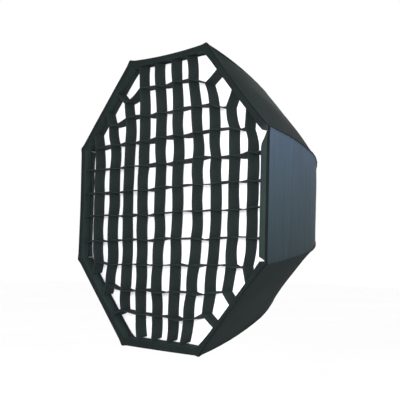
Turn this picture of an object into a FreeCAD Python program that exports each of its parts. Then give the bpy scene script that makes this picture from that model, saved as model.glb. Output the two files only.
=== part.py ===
import FreeCAD, Part
import math
import os

# Octagonal softbox with its honeycomb grid fitted. Millimetres.
# +Y is the light's axis and points rearwards, +Z is up. The origin is the centre of the light's
# bore at the rearmost face of the bayonet insert. A "depth" is measured rearwards from the front
# rim's plane, and a "side" is one of the eight flat sides, side 0 facing +X.

# ---- Driving dimensions -------------------------------------------------------------------------
APOTHEM = 475.0                  # centre to the middle of a rim side: 950 mm across the flats
SIDES = 8
SIDE_ANGLE = 360.0 / SIDES
HALF_ANGLE = SIDE_ANGLE / 2
CORNER = math.cos(math.radians(HALF_ANGLE))      # apothem over corner radius
RIM_CORNER_R = APOTHEM / CORNER

# The outline of a seam, from the rim to the speedring: two tangent arcs and a straight tail.
RIM_SLOPE = 15.2                 # degrees to the axis at the rim
KNEE_SLOPE = 27.0                # where the long front arc meets the knee arc
TAIL_SLOPE = 63.0                # at the end of the knee arc and along the tail
FRONT_ARC_R = 1472.0
KNEE_ARC_R = 380.0
SHELL_REAR_R = 90.0              # corner radius of the shell's rear opening
FRONT_FACETS = 4
KNEE_FACETS = 5

# Mount insert: the ring that the light's bayonet holds.
BORE_R = 49.0
HUB_R = 56.0
PLATE_R = 70.0
COLLAR_R = 57.0
LUG_R = 62.5
LUG_THICKNESS = 3.5
LUG_WIDTH = 40.0                 # degrees
LUG_COUNT = 3
TOTAL_DEPTH = 566.0              # rim plane to the insert's rear face
COLLAR_LENGTH = 10.0
PLATE_THICKNESS = 5.5
RETAINER_R = 62.0
RETAINER_THICKNESS = 3.0
RETAINER_SCREW_CIRCLE_R = 52.5

# Speedring: the cast ring that takes the rods and turns on the insert.
GAP = 0.3                        # between surfaces of different bodies
RING_FRONT = 514.0
RING_SHOULDER = 534.0
RING_REAR = 550.2
RING_R = 78.0
RING_REAR_R = 72.0
SOCKET_LENGTH = 15.0
LOCK_SCREW_DEPTH = 543.0
LOCK_SCREW_R = 3.0
KNOB_R = 8.0
KNOB_FROM_R = 82.0
KNOB_LENGTH = 14.0
KNOB_LOBES = 6
SHAFT_FIT = 0.05

# Rods.
ROD_R = 2.0
ROD_INSET = 10.0                 # rod's centre line inside the seam
ROD_TIP_SLOPE = 15.8             # degrees along the front arc where the rod's tip is
FERRULE_R = 3.0
FERRULE_LENGTH = 40.0
CAP_R = 3.2
CAP_LENGTH = 14.0
CAP_WALL = 5.0                   # solid end in front of the rod's tip
POCKET_R = 4.8
POCKET_BORE_R = 3.5
POCKET_LENGTH = 24.0

# Cloth of the shell.
CLOTH = 1.2
LINING_FROM = 1.9                # distances inside the seam outline
LINING_TO = 2.4
LINING_FRONT = 50.0
LINING_REAR = 512.0
SEAM_GAP = 1.7                   # half the space that a seam's piping takes between two gores
PIPING_R = 1.4
HEM_OUTER = 2.0
HEM_INNER = 4.0
LIP_FRONT = 0.3
LIP_THICKNESS = 1.5
LIP_WIDTH = 18.0
SEAT_FRONT = 47.5
SEAT_REAR = 49.0
SEAT_WIDTH = 41.0
ROD_NOTCH_R = 6.0
TAPE = 1.2
TAPE_HALF_LENGTH = 150.0
RIM_TAPE = (5.0, 16.0)           # edges of the rim's tape inside the rim's apothem
SEAT_TAPE = (28.0, 39.0)
COLLAR_SKIN_R = 79.0
COLLAR_SKIN = 1.4
COLLAR_MOUTH_R = 73.0

# Front diffuser and inner baffle.
DIFFUSER_EDGE = 19.0             # inside the rim's apothem
DIFFUSER_INNER = 41.0            # border's inner edge, inside the rim's apothem
DIFFUSER_CORNER_R = 487.0        # its corners are cut off here, to clear the rods
BORDER_FRONT = 43.0
BORDER_REAR = 46.0
PANEL_FRONT = 44.0
PANEL_REAR = 45.0
BAFFLE_DEPTH = 270.0
BAFFLE_APOTHEM = 290.0
BAFFLE_THICKNESS = 1.0
STRAP_WIDTH = 20.0
STRAP_LAP = 14.0
CLIP_R = 4.6
CLIP_BORE_R = 2.4
CLIP_LENGTH = 8.0
SNAP_R = 6.0
SNAP_THICKNESS = 2.0

# Honeycomb grid: ten upright and ten level cloth strips, sewn in the uneven spacing of soft cloth.
STRIP_X = [-385, -297, -213, -131, -40, 50, 148, 235, 314, 393]
STRIP_Z = [377, 287, 205, 122, 41, -40, -124, -208, -292, -373]
STRIP_BOW = [0, 0, 0, 0, 10, 13, 38, 40, 12, 5]      # lean of an upright strip's ends towards -X
LEVEL_RISE = 6.0                 # of a level strip, from the axis to the side that faces +X
CORNER_STRIPS = 3                # strips at each end of a row that finish on a diagonal side
# Where the two end strips of a corner meet, as upright and level strip: the junction's x and z, and
# the slope, up or down from level in degrees, of the strap that they share from there to the wall.
STRAPS = {
    (0, 2): (-388, 190, 76), (1, 1): (-309, 263, 64), (2, 0): (-221, 335, 37),
    (0, 7): (-375, -204, 72), (1, 8): (-304, -278, 70), (2, 9): (-212, -359, 26),
    (7, 0): (196, 353, 33), (8, 1): (297, 271, 63), (9, 2): (380, 200, 85),
    (7, 9): (207, -350, 35), (8, 8): (296, -280, 47), (9, 7): (383, -203, 74),
}
STRIP = 1.2
STRIP_FRONT = 0.5
STRIP_REAR = 41.5
STRAP_OFFSET = 0.9               # half the space between two strips that run side by side
SLOT = 2.2
SLOT_REACH = 4.0                 # of a slot's cut on each side of the cloth
TRIM = 1.0                       # strips run this far past the wall before they are trimmed to it
FLANGE_FRONT = -2.4
FLANGE_REAR = -1.2
FLANGE_EDGE = 1.0                # flange's outer edge inside the rim's apothem
WALL_OUTER = 24.0
WALL_INNER = 25.4
WALL_REAR = 24.0

Vector = FreeCAD.Vector
ORIGIN = Vector(0, 0, 0)
REARWARDS = Vector(0, 1, 0)


# ---- Geometry helpers ---------------------------------------------------------------------------
def y_at(depth):
    return depth - TOTAL_DEPTH


def spot(depth, radius):
    """A point in the half plane through the axis that faces +X."""
    return Vector(radius, y_at(depth), 0)


def turned(shape, degrees):
    """A copy turned about the light's axis, from +X towards +Z."""
    copy = shape.copy()
    copy.rotate(ORIGIN, -REARWARDS, degrees)
    return copy


def at_corners(shape):
    """Eight copies, one in the plane of each corner."""
    return [turned(shape, HALF_ANGLE + SIDE_ANGLE * k) for k in range(SIDES)]


def at_sides(shape):
    return [turned(shape, SIDE_ANGLE * k) for k in range(SIDES)]


def face_of(points):
    return Part.Face(Part.makePolygon(points + points[:1]))


def octagon(apothem, depth):
    radius = apothem / CORNER
    angles = [math.radians(HALF_ANGLE + SIDE_ANGLE * k) for k in range(SIDES)]
    points = [Vector(radius * math.cos(a), y_at(depth), radius * math.sin(a)) for a in angles]
    return Part.makePolygon(points + points[:1])


def octagon_block(apothem, front, rear):
    return Part.Face(octagon(apothem, front)).extrude(REARWARDS * (rear - front))


def octagon_ring(outer, inner, front, rear):
    return octagon_block(outer, front, rear).cut(octagon_block(inner, front - 1, rear + 1))


def by_sides(ring):
    """An octagonal ring as eight equal pieces that meet at its corners."""
    a = math.radians(HALF_ANGLE)
    reach, front = 2 * RIM_CORNER_R, y_at(FLANGE_FRONT - 1)
    corners = [Vector(reach * math.cos(a), front, sign * reach * math.sin(a)) for sign in (-1, 1)]
    wedge = face_of([Vector(0, front, 0)] + corners).extrude(REARWARDS * TOTAL_DEPTH)
    return at_sides(ring.common(wedge).Solids[0])


def octagon_taper(front_apothem, front, rear_apothem, rear):
    wires = [octagon(front_apothem, front), octagon(rear_apothem, rear)]
    return Part.makeLoft(wires, True, True)


def round_ring(section):
    """A ring turned about the axis from a (depth, radius) outline."""
    return face_of([spot(d, r) for d, r in section]).revolve(ORIGIN, REARWARDS, 360)


def tube(inner, outer, front, rear):
    return round_ring([(front, inner), (front, outer), (rear, outer), (rear, inner)])


def rod_between(start, end, radius):
    return Part.makeCylinder(radius, (end - start).Length, start, end - start)


def write(name, shape):
    solids = shape if isinstance(shape, list) else [shape]
    whole = solids[0] if len(solids) == 1 else Part.makeCompound(solids)
    if not whole.isValid():
        raise ValueError(name + " is not a valid shape")
    whole.exportStep("parts/" + name + ".step")


# ---- The seam's outline -------------------------------------------------------------------------
def unit(slope):
    """Direction from an arc's centre to its point with that slope, as (depth, radius)."""
    a = math.radians(slope)
    return math.sin(a), math.cos(a)


def moved(point, slope, distance):
    d, r = unit(slope)
    return point[0] + d * distance, point[1] + r * distance


FRONT_CENTRE = moved((0.0, RIM_CORNER_R), RIM_SLOPE, -FRONT_ARC_R)
KNEE_CENTRE = moved(moved(FRONT_CENTRE, KNEE_SLOPE, FRONT_ARC_R), KNEE_SLOPE, -KNEE_ARC_R)


def on_front_arc(slope, inset):
    return moved(FRONT_CENTRE, slope, FRONT_ARC_R - inset)


def on_knee_arc(slope, inset):
    return moved(KNEE_CENTRE, slope, KNEE_ARC_R - inset)


def on_tail(radius, inset):
    """The point of the straight tail at a radius."""
    depth, start = on_knee_arc(TAIL_SLOPE, inset)
    return depth + (start - radius) / math.tan(math.radians(TAIL_SLOPE)), radius


def steps(first, last, count):
    return [first + (last - first) * k / count for k in range(count + 1)]


def seam_points(inset):
    front = [on_front_arc(s, inset) for s in steps(RIM_SLOPE, KNEE_SLOPE, FRONT_FACETS)]
    knee = [on_knee_arc(s, inset) for s in steps(KNEE_SLOPE, TAIL_SLOPE, KNEE_FACETS)]
    return front + knee[1:] + [on_tail(SHELL_REAR_R - 20, inset)]


def seam_wire(first_slope, last_radius, inset):
    """The smooth seam outline: arc, arc and tail."""
    def arc(point_on, a, b):
        ends = [spot(*point_on(s, inset)) for s in (a, (a + b) / 2, b)]
        return Part.Arc(*ends).toShape()
    tail_start = spot(*on_knee_arc(TAIL_SLOPE, inset))
    tail_end = spot(*on_tail(last_radius, inset))
    return Part.Wire([
        arc(on_front_arc, first_slope, KNEE_SLOPE),
        arc(on_knee_arc, KNEE_SLOPE, TAIL_SLOPE),
        Part.LineSegment(tail_start, tail_end).toShape(),
    ])


def seam_rod(first_slope, last_radius, inset, radius):
    """A round bar bent along the seam's outline."""
    path = seam_wire(first_slope, last_radius, inset)
    d, r = unit(first_slope)
    start = spot(*on_front_arc(first_slope, inset))
    section = Part.Wire(Part.Circle(start, Vector(-d, r, 0), radius).toShape())
    return path.makePipeShell([section], True, False)


def shell_panel(outer_inset, inner_inset, front, rear, edge_gap):
    """One side's band of cloth between two insets of the seam, cut to its wedge of the octagon."""
    outline = seam_points(outer_inset) + seam_points(inner_inset)[::-1]
    half = RIM_CORNER_R
    points = [Vector(r * CORNER, y_at(d), -half) for d, r in outline]
    band = face_of(points).extrude(Vector(0, 0, 2 * half))
    apex = edge_gap / math.sin(math.radians(HALF_ANGLE))
    far = RIM_CORNER_R + 20
    reach = (far - apex) * math.tan(math.radians(HALF_ANGLE))
    y = y_at(front)
    wedge = face_of([Vector(apex, y, 0), Vector(far, y, reach), Vector(far, y, -reach)])
    return band.common(wedge.extrude(REARWARDS * (rear - front))).Solids[0]


SHELL_REAR = on_tail(SHELL_REAR_R, 0)[0]


# ---- Mount insert and speedring -----------------------------------------------------------------
def mount_insert():
    hub_front = RING_FRONT - GAP
    plate_front = RING_REAR + GAP
    plate_rear = plate_front + PLATE_THICKNESS
    body = round_ring([
        (hub_front, BORE_R), (hub_front, HUB_R), (plate_front, HUB_R), (plate_front, PLATE_R),
        (plate_rear, PLATE_R), (plate_rear, COLLAR_R), (TOTAL_DEPTH, COLLAR_R),
        (TOTAL_DEPTH, BORE_R),
    ])
    lug_front = TOTAL_DEPTH - LUG_THICKNESS
    section = [(lug_front, COLLAR_R - 1), (lug_front, LUG_R), (TOTAL_DEPTH, LUG_R),
               (TOTAL_DEPTH, COLLAR_R - 1)]
    lug = face_of([spot(d, r) for d, r in section]).revolve(ORIGIN, REARWARDS, LUG_WIDTH)
    for k in range(LUG_COUNT):
        body = body.fuse(turned(lug, 90 + LUG_WIDTH / 2 + k * 360 / LUG_COUNT))
    for k in range(LUG_COUNT):
        hole = rod_between(spot(hub_front - 1, RETAINER_SCREW_CIRCLE_R),
                           spot(hub_front + 9, RETAINER_SCREW_CIRCLE_R), 1.5 + SHAFT_FIT)
        body = body.cut(turned(hole, k * 360 / LUG_COUNT))
    return body.removeSplitter()


def retaining_ring():
    rear = RING_FRONT - GAP
    ring = tube(BORE_R + 1, RETAINER_R, rear - RETAINER_THICKNESS, rear)
    hole = rod_between(spot(rear - 5, RETAINER_SCREW_CIRCLE_R),
                       spot(rear + 1, RETAINER_SCREW_CIRCLE_R), 1.5 + SHAFT_FIT)
    for k in range(LUG_COUNT):
        ring = ring.cut(turned(hole, k * 360 / LUG_COUNT))
    return ring


def retaining_screws():
    head_rear = RING_FRONT - GAP - RETAINER_THICKNESS
    centre = RETAINER_SCREW_CIRCLE_R
    head = rod_between(spot(head_rear - 1.6, centre), spot(head_rear, centre), 2.4)
    slot = Part.makeBox(0.8, 0.8, 6, Vector(centre - 0.4, y_at(head_rear - 1.6), -3))
    shank = rod_between(spot(head_rear, centre), spot(head_rear + 11, centre), 1.5)
    screw = head.cut(slot).fuse(shank).removeSplitter()
    return [turned(screw, k * 360 / LUG_COUNT) for k in range(LUG_COUNT)]


def rod_end(length_in_socket):
    """A point of the rod's tail, measured along it from where it enters the speedring."""
    slope = math.radians(TAIL_SLOPE)
    depth, radius = on_tail(RING_R, ROD_INSET)
    return spot(depth + length_in_socket * math.cos(slope),
                radius - length_in_socket * math.sin(slope))


def speedring_body():
    bore = HUB_R + GAP
    body = round_ring([
        (RING_FRONT, bore), (RING_FRONT, RING_R), (RING_SHOULDER, RING_R),
        (RING_SHOULDER, RING_REAR_R), (RING_REAR, RING_REAR_R), (RING_REAR, bore),
    ])
    socket = rod_between(rod_end(-10), rod_end(SOCKET_LENGTH + GAP), FERRULE_R + SHAFT_FIT)
    for hole in at_corners(socket):
        body = body.cut(hole)
    for hole in at_sides(rod_between(spot(LOCK_SCREW_DEPTH, HUB_R - 1),
                                     spot(LOCK_SCREW_DEPTH, RING_R), LOCK_SCREW_R + SHAFT_FIT))[::2]:
        body = body.cut(hole)
    return body


def lock_screw():
    """Thumbscrew whose tip stops just off the insert's hub."""
    knob_start = spot(LOCK_SCREW_DEPTH, KNOB_FROM_R)
    knob_end = spot(LOCK_SCREW_DEPTH, KNOB_FROM_R + KNOB_LENGTH)
    knob = rod_between(knob_start, knob_end, KNOB_R)
    knob = knob.makeChamfer(1.0, [e for e in knob.Edges if e.Closed])
    outward = Vector(1, 0, 0)
    for k in range(KNOB_LOBES):
        angle = 2 * math.pi * k / KNOB_LOBES
        side = Vector(0, math.cos(angle), math.sin(angle)) * (KNOB_R + 1.2)
        knob = knob.cut(Part.makeCylinder(2.6, KNOB_LENGTH, knob_start + side, outward))
    shank = rod_between(spot(LOCK_SCREW_DEPTH, HUB_R + GAP), knob_start, LOCK_SCREW_R)
    return knob.fuse(shank).removeSplitter()


def rear_collar():
    """Cloth sleeve round the speedring, drawn in behind the ring's shoulder."""
    inner = COLLAR_SKIN_R
    outer = COLLAR_SKIN_R + COLLAR_SKIN
    front = SHELL_REAR + GAP
    turn = RING_SHOULDER + 0.6
    return round_ring([(front, inner), (front, outer), (turn + COLLAR_SKIN, outer),
                       (turn + COLLAR_SKIN, COLLAR_MOUTH_R), (turn, COLLAR_MOUTH_R),
                       (turn, inner)])


# ---- Rods ---------------------------------------------------------------------------------------
def rod():
    last = rod_end(SOCKET_LENGTH)
    return seam_rod(ROD_TIP_SLOPE, last.x, ROD_INSET, ROD_R)


def rod_ferrule():
    outer = rod_between(rod_end(SOCKET_LENGTH - FERRULE_LENGTH), rod_end(SOCKET_LENGTH), FERRULE_R)
    bore = rod_between(rod_end(-FERRULE_LENGTH), rod_end(SOCKET_LENGTH + 1), ROD_R + SHAFT_FIT)
    return outer.cut(bore)


def rod_tip(distance):
    """A point on the straight line of the rod's tip, measured rearwards from the rod's end."""
    slope = math.radians(ROD_TIP_SLOPE)
    depth, radius = on_front_arc(ROD_TIP_SLOPE, ROD_INSET)
    return spot(depth + distance * math.cos(slope), radius - distance * math.sin(slope))


def rod_cap():
    cap = rod_between(rod_tip(-CAP_WALL), rod_tip(CAP_LENGTH - CAP_WALL), CAP_R)
    front_edge = min((e for e in cap.Edges if e.Closed), key=lambda e: e.CenterOfMass.y)
    cap = cap.makeFillet(CAP_R * 0.8, [front_edge])
    return cap.cut(rod_between(rod_tip(0), rod_tip(CAP_LENGTH), ROD_R + SHAFT_FIT))


def corner_pocket():
    front = -CAP_WALL - 2.0
    outer = rod_between(rod_tip(front), rod_tip(front + POCKET_LENGTH), POCKET_R)
    bore = rod_between(rod_tip(-CAP_WALL - 0.4), rod_tip(front + POCKET_LENGTH + 1), POCKET_BORE_R)
    return outer.cut(bore)


# ---- Shell --------------------------------------------------------------------------------------
def gore():
    return shell_panel(0, CLOTH, 0, SHELL_REAR, SEAM_GAP)


def gore_lining():
    return shell_panel(LINING_FROM, LINING_TO, LINING_FRONT, LINING_REAR, SEAM_GAP + 1)


def piping():
    return seam_rod(RIM_SLOPE, SHELL_REAR_R, -0.2, PIPING_R)


def inset_apothem(inset, depth):
    """Apothem of the shell's section at a small depth, that far inside the seam."""
    slope = math.radians(RIM_SLOPE + 0.9)
    radius = RIM_CORNER_R - inset / math.cos(slope) - depth * math.tan(slope)
    return radius * CORNER


def front_hem():
    """Stiffened band inside the rim, with a turned-in front lip and the diffuser's seat.

    Each is made of eight straight pieces, sewn together at the rim's corners.
    """
    outer = octagon_taper(inset_apothem(HEM_OUTER, LIP_FRONT), LIP_FRONT,
                          inset_apothem(HEM_OUTER, SEAT_REAR), SEAT_REAR)
    inner = octagon_taper(inset_apothem(HEM_INNER, LIP_FRONT), LIP_FRONT,
                          inset_apothem(HEM_INNER, SEAT_REAR), SEAT_REAR)
    band = outer.cut(inner)
    lip = octagon_ring(APOTHEM, APOTHEM - LIP_WIDTH, LIP_FRONT, LIP_FRONT + LIP_THICKNESS)
    seat = octagon_ring(APOTHEM, APOTHEM - SEAT_WIDTH, SEAT_FRONT, SEAT_REAR).common(inner)
    for notch in at_corners(rod_between(rod_tip(20), rod_tip(60), ROD_NOTCH_R)):
        seat = seat.cut(notch)
    return by_sides(band) + by_sides(lip.common(inner)) + by_sides(seat)


def flat_strip(edges, front, rear):
    """A straight tape along the middle of one side, its edges given inside the rim's apothem."""
    outer, inner = edges
    corner = Vector(APOTHEM - inner, y_at(front), -TAPE_HALF_LENGTH)
    return Part.makeBox(inner - outer, rear - front, 2 * TAPE_HALF_LENGTH, corner)


def hem_tapes():
    rim = flat_strip(RIM_TAPE, LIP_FRONT - TAPE, LIP_FRONT)
    seat = flat_strip(SEAT_TAPE, SEAT_FRONT - TAPE, SEAT_FRONT)
    return at_sides(rim) + at_sides(seat)


# ---- Diffuser and baffle ------------------------------------------------------------------------
def diffuser_border():
    ring = octagon_ring(APOTHEM - DIFFUSER_EDGE, APOTHEM - DIFFUSER_INNER, BORDER_FRONT, BORDER_REAR)
    return ring.common(turned(octagon_block(DIFFUSER_CORNER_R, BORDER_FRONT, BORDER_REAR), HALF_ANGLE))


def diffuser_panel():
    return octagon_block(APOTHEM - DIFFUSER_INNER, PANEL_FRONT, PANEL_REAR)


def slope_at(depth):
    return math.degrees(math.asin(math.sin(math.radians(RIM_SLOPE)) + depth / FRONT_ARC_R))


def baffle_pieces():
    front = BAFFLE_DEPTH
    rear = front + BAFFLE_THICKNESS
    panel = octagon_block(BAFFLE_APOTHEM, front, rear)
    slope = slope_at(front)
    depth, radius = on_front_arc(slope, ROD_INSET)
    along = Vector(-unit(slope)[0], unit(slope)[1], 0)
    half = CLIP_LENGTH / 2
    centre = spot(depth, radius)
    clip = rod_between(centre - along * half, centre + along * half, CLIP_R)
    clip = clip.cut(rod_between(centre - along * 2 * half, centre + along * 2 * half, CLIP_BORE_R))
    start = BAFFLE_APOTHEM / CORNER - STRAP_LAP
    end = radius - CLIP_R - 2
    strap = Part.makeBox(end - start, TAPE, STRAP_WIDTH, Vector(start, y_at(rear), -STRAP_WIDTH / 2))
    snap_r = start + STRAP_LAP / 2
    snap = rod_between(spot(rear + TAPE, snap_r), spot(rear + TAPE + SNAP_THICKNESS, snap_r), SNAP_R)
    snap = snap.makeFillet(1.0, [e for e in snap.Edges if e.Closed and e.CenterOfMass.y > y_at(rear + 2)])
    return {"inner_baffle": panel, "baffle_clips": at_corners(clip),
            "baffle_straps": at_corners(strap), "baffle_snaps": at_corners(snap)}


# ---- Honeycomb grid -----------------------------------------------------------------------------
WALL = APOTHEM - WALL_INNER
LAST = len(STRIP_X) - 1
MID_STRIP = (STRIP_FRONT + STRIP_REAR) / 2


def grid_border():
    """The lip over the rim and the wall behind it, each of eight pieces sewn at the corners."""
    flange = octagon_ring(APOTHEM - FLANGE_EDGE, APOTHEM - WALL_OUTER, FLANGE_FRONT, FLANGE_REAR)
    wall = octagon_ring(APOTHEM - WALL_OUTER, WALL, FLANGE_FRONT, WALL_REAR)
    return by_sides(flange) + by_sides(wall)


def end_rows(index):
    """First and last crossing strip of a strip, or None where it runs on to a flat side."""
    if index < CORNER_STRIPS:
        first = CORNER_STRIPS - 1 - index
    elif index > LAST - CORNER_STRIPS:
        first = index - (LAST - CORNER_STRIPS) - 1
    else:
        return None
    return first, LAST - first


def upright_x(index, z):
    return STRIP_X[index] - STRIP_BOW[index] * (z / WALL) ** 2


def level_z(index, x):
    return STRIP_Z[index] + LEVEL_RISE * x / WALL


def crossing(column, row):
    x = upright_x(column, level_z(row, STRIP_X[column]))
    z = level_z(row, x)
    return Vector(upright_x(column, z), 0, z)


def crossings(index, upright):
    return [crossing(index, k) if upright else crossing(k, index) for k in range(LAST + 1)]


def end_run(index, other, upright):
    """End and junction of a strip that finishes in a strap, from beyond the diagonal wall inwards."""
    x, z, slope = STRAPS[(index, other) if upright else (other, index)]
    out = Vector(math.copysign(1, x), 0, math.copysign(1, z))
    along = Vector(out.x * math.cos(math.radians(slope)), 0, out.z * math.sin(math.radians(slope)))
    beside = Vector(out.x * abs(along.z), 0, -out.z * abs(along.x))
    junction = Vector(x, 0, z) + beside * (STRAP_OFFSET * (1 if upright else -1))
    reach = (WALL * math.sqrt(2) - junction.dot(out)) / along.dot(out) + TRIM
    return [junction + along * reach, junction]


def wall_end(index, upright, sign):
    """End of a strip that runs on to a flat side, just beyond the wall."""
    reach = sign * (WALL + TRIM)
    if upright:
        return Vector(upright_x(index, reach), 0, reach)
    return Vector(reach, 0, level_z(index, reach))


def strip_path(index, upright):
    nodes = crossings(index, upright)
    ends = end_rows(index)
    start = 1 if upright else -1
    bowed = upright and STRIP_BOW[index]
    if ends is None:
        inner = nodes if bowed else []
        return [wall_end(index, upright, start)] + inner + [wall_end(index, upright, -start)]
    first, last = ends
    inner = nodes[first + 1:last]
    if not bowed:
        inner = [inner[0], inner[-1]]
    return end_run(index, first, upright) + inner + end_run(index, last, upright)[::-1]


def ribbon(path):
    """A strip of cloth standing on a bent path, its ends square."""
    def side(sign):
        points = []
        for k, point in enumerate(path):
            before = (point - path[k - 1]).normalize() if k else None
            after = (path[k + 1] - point).normalize() if k < len(path) - 1 else None
            run = (before or after) + (after or before)
            run.normalize()
            normal = Vector(-run.z, 0, run.x)
            bend = run.dot(after or before)
            points.append(point + normal * (sign * STRIP / 2 / bend))
        return points
    outline = [p + Vector(0, y_at(STRIP_FRONT), 0) for p in side(1) + side(-1)[::-1]]
    return face_of(outline).extrude(REARWARDS * (STRIP_REAR - STRIP_FRONT))


def grid_strip(index, upright):
    strip = ribbon(strip_path(index, upright))
    strip = strip.common(octagon_block(WALL, STRIP_FRONT, STRIP_REAR))
    first, last = end_rows(index) or (-1, LAST + 1)
    wide, tall = (SLOT_REACH, SLOT / 2) if upright else (SLOT / 2, SLOT_REACH)
    front, rear = (STRIP_FRONT - 1, MID_STRIP + 0.2) if upright else (MID_STRIP - 0.2, STRIP_REAR + 1)
    for place in crossings(index, upright)[first + 1:last]:
        corner = place + Vector(-wide, y_at(front), -tall)
        strip = strip.cut(Part.makeBox(2 * wide, rear - front, 2 * tall, corner))
    return strip.Solids[0]


# ---- Write every piece --------------------------------------------------------------------------
os.makedirs("parts", exist_ok=True)

write("mount_insert", mount_insert())
write("insert_retaining_ring", retaining_ring())
write("retaining_ring_screws", retaining_screws())
write("speedring_body", speedring_body())
write("rear_collar", rear_collar())
for number, screw in enumerate(at_sides(lock_screw())[::2], 1):
    write("lock_screw_%d" % number, screw)
for number, bar in enumerate(at_corners(rod()), 1):
    write("rod_%d" % number, bar)
write("rod_ferrules", at_corners(rod_ferrule()))
write("rod_end_caps", at_corners(rod_cap()))
write("corner_pockets", at_corners(corner_pocket()))
for number, panel in enumerate(at_sides(gore()), 1):
    write("gore_%d" % number, panel)
write("gore_linings", at_sides(gore_lining()))
write("seam_piping", at_corners(piping()))
write("front_hem", front_hem())
write("hem_hook_tapes", hem_tapes())
write("diffuser_border", diffuser_border())
write("diffuser_panel", diffuser_panel())
for name, pieces in baffle_pieces().items():
    write(name, pieces)
write("grid_border", grid_border())
for number in range(len(STRIP_X)):
    write("grid_strip_v%d" % (number + 1), grid_strip(number, True))
    write("grid_strip_h%d" % (number + 1), grid_strip(number, False))
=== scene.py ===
import math
import random

import bmesh
import bpy
import numpy as np
from mathutils import Matrix, Vector, noise


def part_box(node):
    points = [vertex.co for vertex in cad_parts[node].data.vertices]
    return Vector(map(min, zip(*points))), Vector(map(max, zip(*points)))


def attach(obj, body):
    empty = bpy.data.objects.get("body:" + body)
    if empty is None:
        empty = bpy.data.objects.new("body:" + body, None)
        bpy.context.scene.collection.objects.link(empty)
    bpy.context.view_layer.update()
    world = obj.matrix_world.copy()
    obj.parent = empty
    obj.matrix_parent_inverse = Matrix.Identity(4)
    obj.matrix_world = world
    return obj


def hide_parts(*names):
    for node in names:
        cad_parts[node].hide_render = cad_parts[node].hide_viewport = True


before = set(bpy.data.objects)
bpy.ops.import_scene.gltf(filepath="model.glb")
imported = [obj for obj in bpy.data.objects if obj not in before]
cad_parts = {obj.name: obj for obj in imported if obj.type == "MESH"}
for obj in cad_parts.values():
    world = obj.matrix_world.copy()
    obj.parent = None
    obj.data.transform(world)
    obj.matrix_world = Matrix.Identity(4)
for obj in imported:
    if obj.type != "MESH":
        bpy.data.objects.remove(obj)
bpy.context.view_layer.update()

# Octagonal softbox with its honeycomb grid. Metres, in the CAD frame: +Y points rearwards along the
# light's axis. A "depth" is measured rearwards from the rim's plane, an "inset" inwards from the
# seam's outline, and u runs from -1 to 1 across a side, from one corner to the next.
MM = 0.001
SIDES = 8
STEP = 2 * math.pi / SIDES
HALF = STEP / 2
CORNER = math.cos(HALF)

GORE_LOW, GORE_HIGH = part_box("gore_1")
RIM_Y = GORE_LOW.y
APOTHEM = round(GORE_HIGH.x, 4)
RIM_R = APOTHEM / CORNER

# The seam's outline, as in the CAD: front arc, knee arc, straight tail.
RIM_SLOPE = math.radians(15.2)
KNEE_SLOPE = math.radians(27.0)
TAIL_SLOPE = math.radians(63.0)
FRONT_ARC_R = 1472 * MM
KNEE_ARC_R = 380 * MM
SHELL_REAR_R = 90 * MM

# How far each rim side is pulled in at its middle by the cloth, side 0 facing +X, counted towards +Z.
RIM_PULL = np.array([0, 5, 7.5, -1, 3, 0, -1, 5]) * MM
PULL_DEPTH = 0.26  # the pull has faded out here
TIP_PUSH = 3.5 * MM  # how far a rod's tip pushes the cloth out at a rim corner
TIP_WIDTH, TIP_DEPTH = 13 * MM, 22 * MM
# Inward curve of each gore between its rods; a gore that bellies outwards has it negative.
GORE_SAG = np.array([0, -5, 5, 7, 8, 8, 7, 6]) * MM
CLOTH = 0.9 * MM

# The grid's lip over the rim: its full width, at the corners, and its width at each side's middle.
LIP = 24.7 * MM
LIP_MIDDLE = np.array([24.7, 20, 19, 22, 23, 23, 22, 13]) * MM
# Near both ends of side 0 the lips are cut away, from the first height of each pair to the second.
CUT_TOP = (144 * MM, 182 * MM)
CUT_FOOT = (-178 * MM, -181 * MM)
CUT_LEFT = 0.07  # share of the lips' width that is left there
LEAST_LIP = 4 * MM  # the rim's own lip keeps at least this much, or all that it has
WALL_DEPTH = 24 * MM
WALL_RISE = 7 * MM  # how much higher the wall's rear edge lies than its front edge
DIFFUSER_EDGE = 26.5 * MM  # inset of the diffuser's outer edge at the corners
DIFFUSER_BINDING = 14.5 * MM  # width of its bound edge
DIFFUSER_REACH = 7.5 * MM  # how much further out the edge lies at each side's middle
PANEL_APOTHEM = APOTHEM - 39 * MM  # of the diffuser's panel
BAFFLE_APOTHEM = 290 * MM

TUBE_GUIDE = np.array([0.31, 0.77, 0.55])  # a direction that no tube runs along
TAPER = np.array([0.6, 1, 1, 1, 0.6])  # thins the ends of a stitch and the edges of a tape
rng = random.Random(95)


# ---- Meshes ----
def add_object(name, data):
    obj = bpy.data.objects.new(name, data)
    bpy.context.scene.collection.objects.link(obj)
    return obj


def build(name, parts, body, material, replaces=()):
    """A piece that rides on a body, made of parts: (points, faces, uv, sharp edges)."""
    points, faces, uv, sharp = parts
    mesh = bpy.data.meshes.new(name)
    mesh.from_pydata(points.tolist(), [], faces)
    mesh.update()
    layer = mesh.uv_layers.new(name="cloth")
    index = np.empty(len(mesh.loops), dtype=np.int32)
    mesh.loops.foreach_get("vertex_index", index)
    layer.data.foreach_set("uv", np.asarray(uv, dtype=np.float32)[index].ravel())
    mesh.polygons.foreach_set("use_smooth", [True] * len(mesh.polygons))
    if sharp:
        wanted = {tuple(sorted(e)) for e in sharp}
        flags = [tuple(sorted(e.vertices)) in wanted for e in mesh.edges]
        mesh.attributes.new("sharp_edge", "BOOLEAN", "EDGE").data.foreach_set("value", flags)
    mesh.materials.append(material)
    obj = add_object(name, mesh)
    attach(obj, body)
    if replaces:
        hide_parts(*replaces)
    return obj


def run_along(line):
    """Length from a line's first point to each of its points."""
    return np.concatenate([[0], np.cumsum(np.linalg.norm(np.diff(line, axis=0), axis=1))])


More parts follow.
